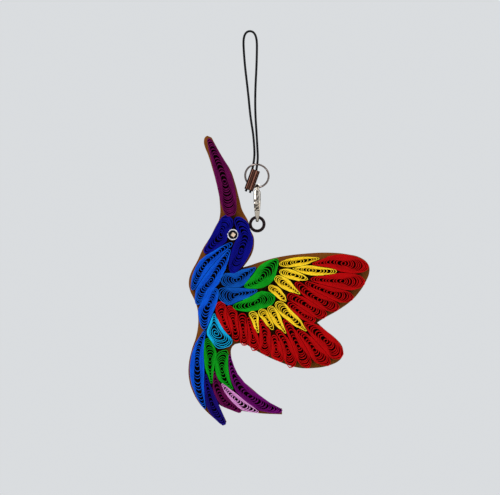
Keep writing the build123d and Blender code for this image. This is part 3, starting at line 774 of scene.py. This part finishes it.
# %% Winding path of one coil
def winding(name):
    """The strip's line from outside to heart: each place, the share wound off and the thickness there."""
    coil = coils[name]
    habit = habits.get(coil.paper, usual_habit)
    length = length_of(coil)
    middles, heights = coil_sides(name)

    def height(x):
        """Half height of the coil at a distance from its round end."""
        return read_at(heights, station(x / length))

    heart = heart_share * length
    loose_height = height(heart) * habit.open_share
    tight_height = height(heart) * (1 - habit.open_share)
    tight_step = min(max(tight_height * habit.bow_pitch / heart, thinnest_side), thickest_side)
    wall = tight_step * filled_share
    tight_turns = tight_height / tight_step
    turns = tight_turns + max((loose_height - heart_radius) / habit.loose_step, fewest_loose_turns)
    from_end = [(x, height(x)) for x in (heart * i / samples for i in range(samples))]
    from_tip = [(x, height(x)) for x in (length - (length - heart) * i / samples for i in range(samples))]

    def inset(turn):
        """How far a turn lies inside the coil's edge along its sides."""
        loose = max(turn - tight_turns, 0)
        return min(turn, tight_turns) * tight_step + loose * habit.loose_step + wall / 2

    def spread(turn):
        """Both ends of a turn, and the lengths of its bows there."""
        uneven = turn + sway * math.sin(sway_rate * turn + sway_shift * coil.width) * min(turn, 1)
        spent = (uneven / turns) ** crowding
        start = (heart - heart_radius) * spent + habit.bow_wall / 2
        stop = length - (length - heart - heart_radius) * spent - habit.bow_wall
        needed = inset(turn) + least_bow * min(turn, 1)
        start = max(start, next((x for x, up in from_end if up >= needed), heart))
        start = min(start, heart - heart_radius)
        stop = min(stop, next((x for x, up in from_tip if up >= needed), heart))
        stop = max(stop, heart + heart_radius)
        span = (stop - start) / 2
        bow_start = max(height(start + look_past_end) - inset(turn), shortest_bow)
        bow_start = min(max(height(start + bow_start) - inset(turn), shortest_bow), span)
        bow_stop = tip_bow_stretch * (height(stop - look_past_tip) - inset(turn))
        return start, stop, bow_start, min(max(bow_stop, shortest_bow), span)

    path = []
    step = 1 / len(one_turn)
    for number in range(int(turns / step)):
        turn = number * step
        kind, a, side = one_turn[number % len(one_turn)]
        start, stop, bow_start, bow_stop = spread(turn)
        if kind == "side":
            x = start + bow_start + (stop - bow_stop - start - bow_start) * a
            closing, here = 1.0, wall
        else:
            into_bow = 1 - math.cos(a)
            x = start + bow_start * into_bow if kind == "start" else stop - bow_stop * into_bow
            closing = 1 - min(turn, 1) * (1 - math.sin(a)) if a else 0.0
            here = wall + (habit.bow_wall - wall) * (1 - math.sin(a))
        up = max(height(x) - inset(turn), thinnest_loop) * closing
        centre = read_at(middles, station(x / length))
        path.append((place(coil, x / length, centre + side * up), turn / turns, here))
    return path


print("points of the belly coil", len(winding("belly")))

# %% [markdown]
# A path becomes paper in three moves that are the same by hand: the line is laid in front of the board, a
# bit uneven as cut paper is, it is extruded back to the board, and Solidify gives the strip its thickness,
# more where a vertex group says so. The strip's map is set before that, from the share stored on each point.

# %% Strip from a path
board_front = -board_thickness / 2
paper_depth = 3.0
edge_sink = 0.07
ripples = ((0.04, 0.31, 0), (0.03, 0.083, 1))


def wind_strip(path, name):
    """A thin strip of paper standing on edge along the path."""
    mesh = bpy.data.meshes.new(name)
    strip = bpy.data.objects.new(name, mesh)
    bpy.context.scene.collection.objects.link(strip)
    front = board_front - paper_depth
    points = []
    for number, (point, _, _) in enumerate(path):
        uneven = sum(size * math.sin(rate * number + shift) for size, rate, shift in ripples)
        spot = (point.x + lug_hole.x, front + edge_sink + uneven, point.y + lug_hole.y)
        points.append([part * mm for part in spot])
    mesh.from_pydata(points, [(i, i + 1) for i in range(len(points) - 1)], [])
    thickest = max(wall for _, _, wall in path)
    wound = [share for _, share, _ in path]
    full = [wall / thickest for _, _, wall in path]
    mesh.attributes.new("wound", "FLOAT", "POINT").data.foreach_set("value", wound)
    mesh.attributes.new("full", "FLOAT", "POINT").data.foreach_set("value", full)
    pick_only(strip)
    bpy.ops.object.mode_set(mode="EDIT")
    bpy.ops.mesh.select_all(action="SELECT")
    bpy.ops.mesh.extrude_region_move(TRANSFORM_OT_translate={"value": (0, paper_depth * mm, 0)})
    bpy.ops.object.mode_set(mode="OBJECT")
    # Only the extruded edge is selected now. It is set on the board, and the uneven front edge stays.
    for vertex in mesh.vertices:
        if vertex.select:
            vertex.co.y = board_front * mm
    share_wound = mesh.attributes["wound"].data
    strip_map = mesh.uv_layers.new(name="strip")
    for loop in mesh.loops:
        at_board = mesh.vertices[loop.vertex_index].select
        strip_map.data[loop.index].uv = (share_wound[loop.vertex_index].value, 0.0 if at_board else 1.0)
    thick_here = strip.vertex_groups.new(name="thick_here")
    for vertex, value in zip(mesh.vertices, mesh.attributes["full"].data):
        thick_here.add([vertex.index], value.value, "REPLACE")
    thick = strip.modifiers.new("paper", "SOLIDIFY")
    thick.thickness = thickest * mm
    thick.vertex_group = thick_here.name
    thick.offset = 0
    apply_all(strip)
    bpy.ops.object.shade_smooth_by_angle(angle=math.radians(50))
    return strip


print("strips stand", paper_depth, "mm deep on the board")

# %% [markdown]
# Now the same steps run for every row of the table. Each coil becomes a piece of its own in its own paper
# and stands for the plain solid of the same name.

# %% All coils on the board
triangles = 0
for name, coil in coils.items():
    strip = wind_strip(winding(name), "quilled_" + name)
    dress(strip, "quilled_" + name, papers[coil.paper], "bird", "coil_" + name)
    triangles += sum(len(face.vertices) - 2 for face in strip.data.polygons)
print("triangles in the coils", triangles)

# %% [markdown]
# The eye is three tiny pieces: a white ring of a few turns, a black coil wound tight inside it, and a pale
# paper diamond on top. The round ones could be plain tubes, but wound by the same strip maker along a round
# spiral they show the same fine turns as the other coils.

# %% Round coils of the eye
eye_wall = 0.13
eye_turn_gap = 0.02
points_per_turn = 32


def round_spiral(outer_radius, inner_radius):
    """A round winding about the eye's centre."""
    path = []
    radius = outer_radius - eye_wall / 2
    while radius > inner_radius + eye_wall / 2:
        angle = 2 * math.pi * len(path) / points_per_turn
        path.append((eye_centre + Vector((math.cos(angle), math.sin(angle))) * radius, 0.0, eye_wall))
        radius -= (eye_wall + eye_turn_gap) / points_per_turn
    return path


for name, colour, outer_radius, inner_radius, node in (
    ("eye_white_ring", "white", eye_d / 2, 1.34, "eye_ring"),
    ("eye_black_coil", "black", 1.3, 0.12, "eye_pupil"),
):
    strip = wind_strip(round_spiral(outer_radius, inner_radius), name)
    dress(strip, name, papers[colour], "bird", node)
    print(name, "points", len(strip.data.vertices))

# %% [markdown]
# The diamond is a small square of paper glued on its corner. It starts as a cube, which is flattened, turned
# and bevelled. Its front face is then inset and pushed back a little, so that it has a thin raised rim.

# %% Pale diamond
glint_size, glint_depth = 1.15, 0.3
glint_turn = (0, math.radians(-54), 0)
glint_rim, glint_sink = 0.14, 0.1
bpy.ops.object.select_all(action="DESELECT")
low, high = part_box("eye_glint")
bpy.ops.mesh.primitive_cube_add(size=glint_size * mm, location=(low + high) / 2, rotation=glint_turn)
glint = bpy.context.object
glint.scale = (1, glint_depth / glint_size, 1)
soft_edges = glint.modifiers.new("soft_edges", "BEVEL")
soft_edges.width = 0.07 * mm
soft_edges.segments = 2
apply_all(glint)
bpy.ops.object.mode_set(mode="EDIT")
bpy.ops.mesh.select_all(action="DESELECT")
bpy.ops.object.mode_set(mode="OBJECT")
for face in glint.data.polygons:
    face.select = face.normal.y < -0.99
bpy.ops.object.mode_set(mode="EDIT")
bpy.ops.mesh.inset(thickness=glint_rim * mm)
bpy.ops.transform.translate(value=(0, glint_sink * mm, 0))
bpy.ops.object.mode_set(mode="OBJECT")
dress(glint, "eye_pale_diamond", papers["cream"], "bird", "eye_glint")
print("diamond faces", len(glint.data.polygons))

# %% [markdown]
# The clamp, the clasp and its lever are small cast or pressed parts with no sharp edge anywhere. Their
# solids have the right shapes but crisp edges, and a bevel would fail where many curved faces meet. So each
# solid is copied, its loose triangles are merged, and a fine remesh with some smoothing rounds all edges at
# once, as tumbling and plating do to the real parts.


# %% Rounded copy of a metal part
def tumbled(node, voxel, smoothing):
    """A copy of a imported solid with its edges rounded."""
    part = nodes[node].copy()
    part.data = nodes[node].data.copy()
    part.parent = None
    for key in list(part.keys()):
        del part[key]
    bpy.context.scene.collection.objects.link(part)
    pick_only(part)
    bpy.ops.object.mode_set(mode="EDIT")
    bpy.ops.mesh.select_all(action="SELECT")
    bpy.ops.mesh.remove_doubles(threshold=merge_distance)
    bpy.ops.object.mode_set(mode="OBJECT")
    remesh = part.modifiers.new("even_mesh", "REMESH")
    remesh.mode = "VOXEL"
    remesh.voxel_size = voxel * mm
    relax = part.modifiers.new("relax", "SMOOTH")
    relax.factor = 0.5
    relax.iterations = smoothing
    apply_all(part)
    bpy.ops.object.shade_smooth()
    return part


rounded_parts = (
    ("crimp_clamp", "pressed_clamp", "strap", painted_dark_nickel, 0.06, 12),
    ("clasp_body", "cast_clasp", "clasp", painted_bright_nickel, 0.08, 80),
    ("clasp_lever", "cast_lever", "lever", painted_bright_nickel, 0.06, 14),
)
print("solids to round", [row[0] for row in rounded_parts])

# %% [markdown]
# Seen from the front, the eye at the top of the clasp is thinner than its body. Resizing only the eye would
# leave a step where it ends, so the resize is a proportional one that fades over a short shoulder.

# %% Thinner eye of the clasp
eye_foot = -48.5
eye_share = 0.6
shoulder = 1.3


def thin_eye(part):
    """Draw the clasp's eye thinner than its body, with a soft shoulder between them."""
    pick_only(part)
    for vertex in part.data.vertices:
        vertex.select = vertex.co.z > eye_foot * mm
    bpy.ops.object.mode_set(mode="EDIT")
    bpy.ops.transform.resize(
        value=(eye_share, 1, 1), center_override=(lug_hole.x * mm, 0, eye_foot * mm),
        use_proportional_edit=True, proportional_edit_falloff="SMOOTH", proportional_size=shoulder * mm,
    )
    bpy.ops.object.mode_set(mode="OBJECT")


for node, name, body, finish, voxel, smoothing in rounded_parts:
    part = tumbled(node, voxel, smoothing)
    if node == "clasp_body":
        thin_eye(part)
    dress(part, name, finish, body, node)
    print(name, "triangles", 2 * len(part.data.polygons))
for node, finish in (("clasp_pin", painted_bright_nickel), ("clasp_spring", spring_steel)):
    nodes[node].data.materials.clear()
    nodes[node].data.materials.append(finish)

# %% [markdown]
# The jump ring is round wire bent to a circle, with a fine cut where its ends meet. A torus would have no
# cut, so a disc the size of the wire is spun round the ring's centre by almost a full turn. The ring hangs
# slightly tilted and turned, so its own right, up and front directions are worked out first.

# %% Jump ring
ring_tilt, ring_yaw = math.radians(14), math.radians(6)
ring_radius, wire_d = 3.65, 0.6
ring_steps = 110
ring_span = math.radians(358.6)
cut_angle = math.radians(35)
ring_foot = Vector((lug_hole.x, 0, -48.05))
ring_right = Vector((math.cos(ring_yaw), -math.sin(ring_yaw), 0))
ring_up = Vector((
    -math.sin(ring_tilt) * math.sin(ring_yaw),
    -math.sin(ring_tilt) * math.cos(ring_yaw),
    math.cos(ring_tilt),
))
ring_front = ring_right.cross(ring_up)
ring_centre = ring_foot + ring_up * ring_radius
to_cut = ring_right * math.cos(cut_angle) + ring_up * math.sin(cut_angle)
disc_turn = Matrix((to_cut, ring_front, ring_front.cross(to_cut))).transposed().to_4x4()
bpy.ops.object.select_all(action="DESELECT")
bpy.ops.mesh.primitive_circle_add(vertices=20, radius=wire_d / 2 * mm, fill_type="NGON")
jump_ring = bpy.context.object
jump_ring.matrix_world = Matrix.Translation((ring_centre + to_cut * ring_radius) * mm) @ disc_turn
apply_all(jump_ring)
bpy.ops.object.mode_set(mode="EDIT")
bpy.ops.mesh.select_all(action="SELECT")
bpy.ops.mesh.spin(steps=ring_steps, angle=ring_span, center=ring_centre * mm, axis=ring_front)
bpy.ops.mesh.select_all(action="SELECT")
bpy.ops.mesh.normals_make_consistent(inside=False)
bpy.ops.object.mode_set(mode="OBJECT")
bpy.ops.object.shade_smooth_by_angle(angle=math.radians(40))
dress(jump_ring, "wire_ring", nickel, "strap", "jump_ring")
print("ring size", [round(size / mm, 2) for size in jump_ring.dimensions])

# %% [markdown]
# The charm is shown on a plain pale ground. The world gives that pale grey to the camera, and a darker grey
# to the rays that light the papers, so that their colours stay deep. What the metal mirrors is a third thing:
# a room of light and dark patches, because plating looks like metal only where it mirrors a contrast.

# %% World
world = bpy.data.worlds.new("pale_room")
bpy.context.scene.world = world
world.use_nodes = True
tree = world.node_tree
seen = tree.nodes.new("ShaderNodeLightPath")
straight = tree.nodes.new("ShaderNodeMath")
straight.operation = "MAXIMUM"
tree.links.new(seen.outputs["Is Camera Ray"], straight.inputs[0])
tree.links.new(seen.outputs["Is Transmission Ray"], straight.inputs[1])
plain = blend_colours(tree, straight.outputs[0], (0.45, 0.45, 0.46), (0.7, 0.72, 0.74))
around = tree.nodes.new("ShaderNodeTexCoord")
things = tree.nodes.new("ShaderNodeTexNoise")
things.inputs["Scale"].default_value = 1.6
things.inputs["Detail"].default_value = 1
tree.links.new(around.outputs["Generated"], things.inputs["Vector"])
contrast = ramp(tree, things.outputs["Fac"], 0.44, 0.56)
room = blend_colours(tree, contrast, (0.02, 0.015, 0.015), (0.85, 0.85, 0.88))
mirrored = blend_colours(tree, seen.outputs["Is Glossy Ray"], plain, room)
tree.links.new(mirrored, tree.nodes["Background"].inputs["Color"])
print("world", world.name)

# %% [markdown]
# A pale floor lies well below the charm and only sends some light back up. A large soft lamp from the upper
# left lights the coils, a weaker one from the right opens their shadows, and one behind lights the back.

# %% Floor and lamps
floor_finish, shader, fibres = start_material("pale_floor", 0.8, specular=0.2, size=30)
tree = floor_finish.node_tree
speckled = blend_colours(tree, fibres.outputs["Mask"], (0.72, 0.73, 0.74), (0.78, 0.79, 0.8))
tree.links.new(speckled, shader.inputs["Base Color"])
bpy.ops.object.select_all(action="DESELECT")
bpy.ops.mesh.primitive_circle_add(vertices=96, radius=0.7, fill_type="NGON", location=(0, 0, -0.25))
floor = bpy.context.object
floor.name = "floor"
floor.data.materials.append(floor_finish)

for name, spot, size, watts in (
    ("key", (-0.5, -0.9, 0.55), 0.5, 7.0),
    ("fill", (0.8, -0.8, 0.1), 0.6, 2.0),
    ("back", (0.3, 0.9, 0.5), 0.5, 4.0),
):
    bpy.ops.object.light_add(type="AREA", location=spot)
    lamp = bpy.context.object
    lamp.name = name
    lamp.data.size = size
    lamp.data.energy = watts
    lamp.rotation_euler = (shot_centre - Vector(spot)).to_track_quat("-Z", "Y").to_euler()
    print(name, "lamp of", watts, "W")
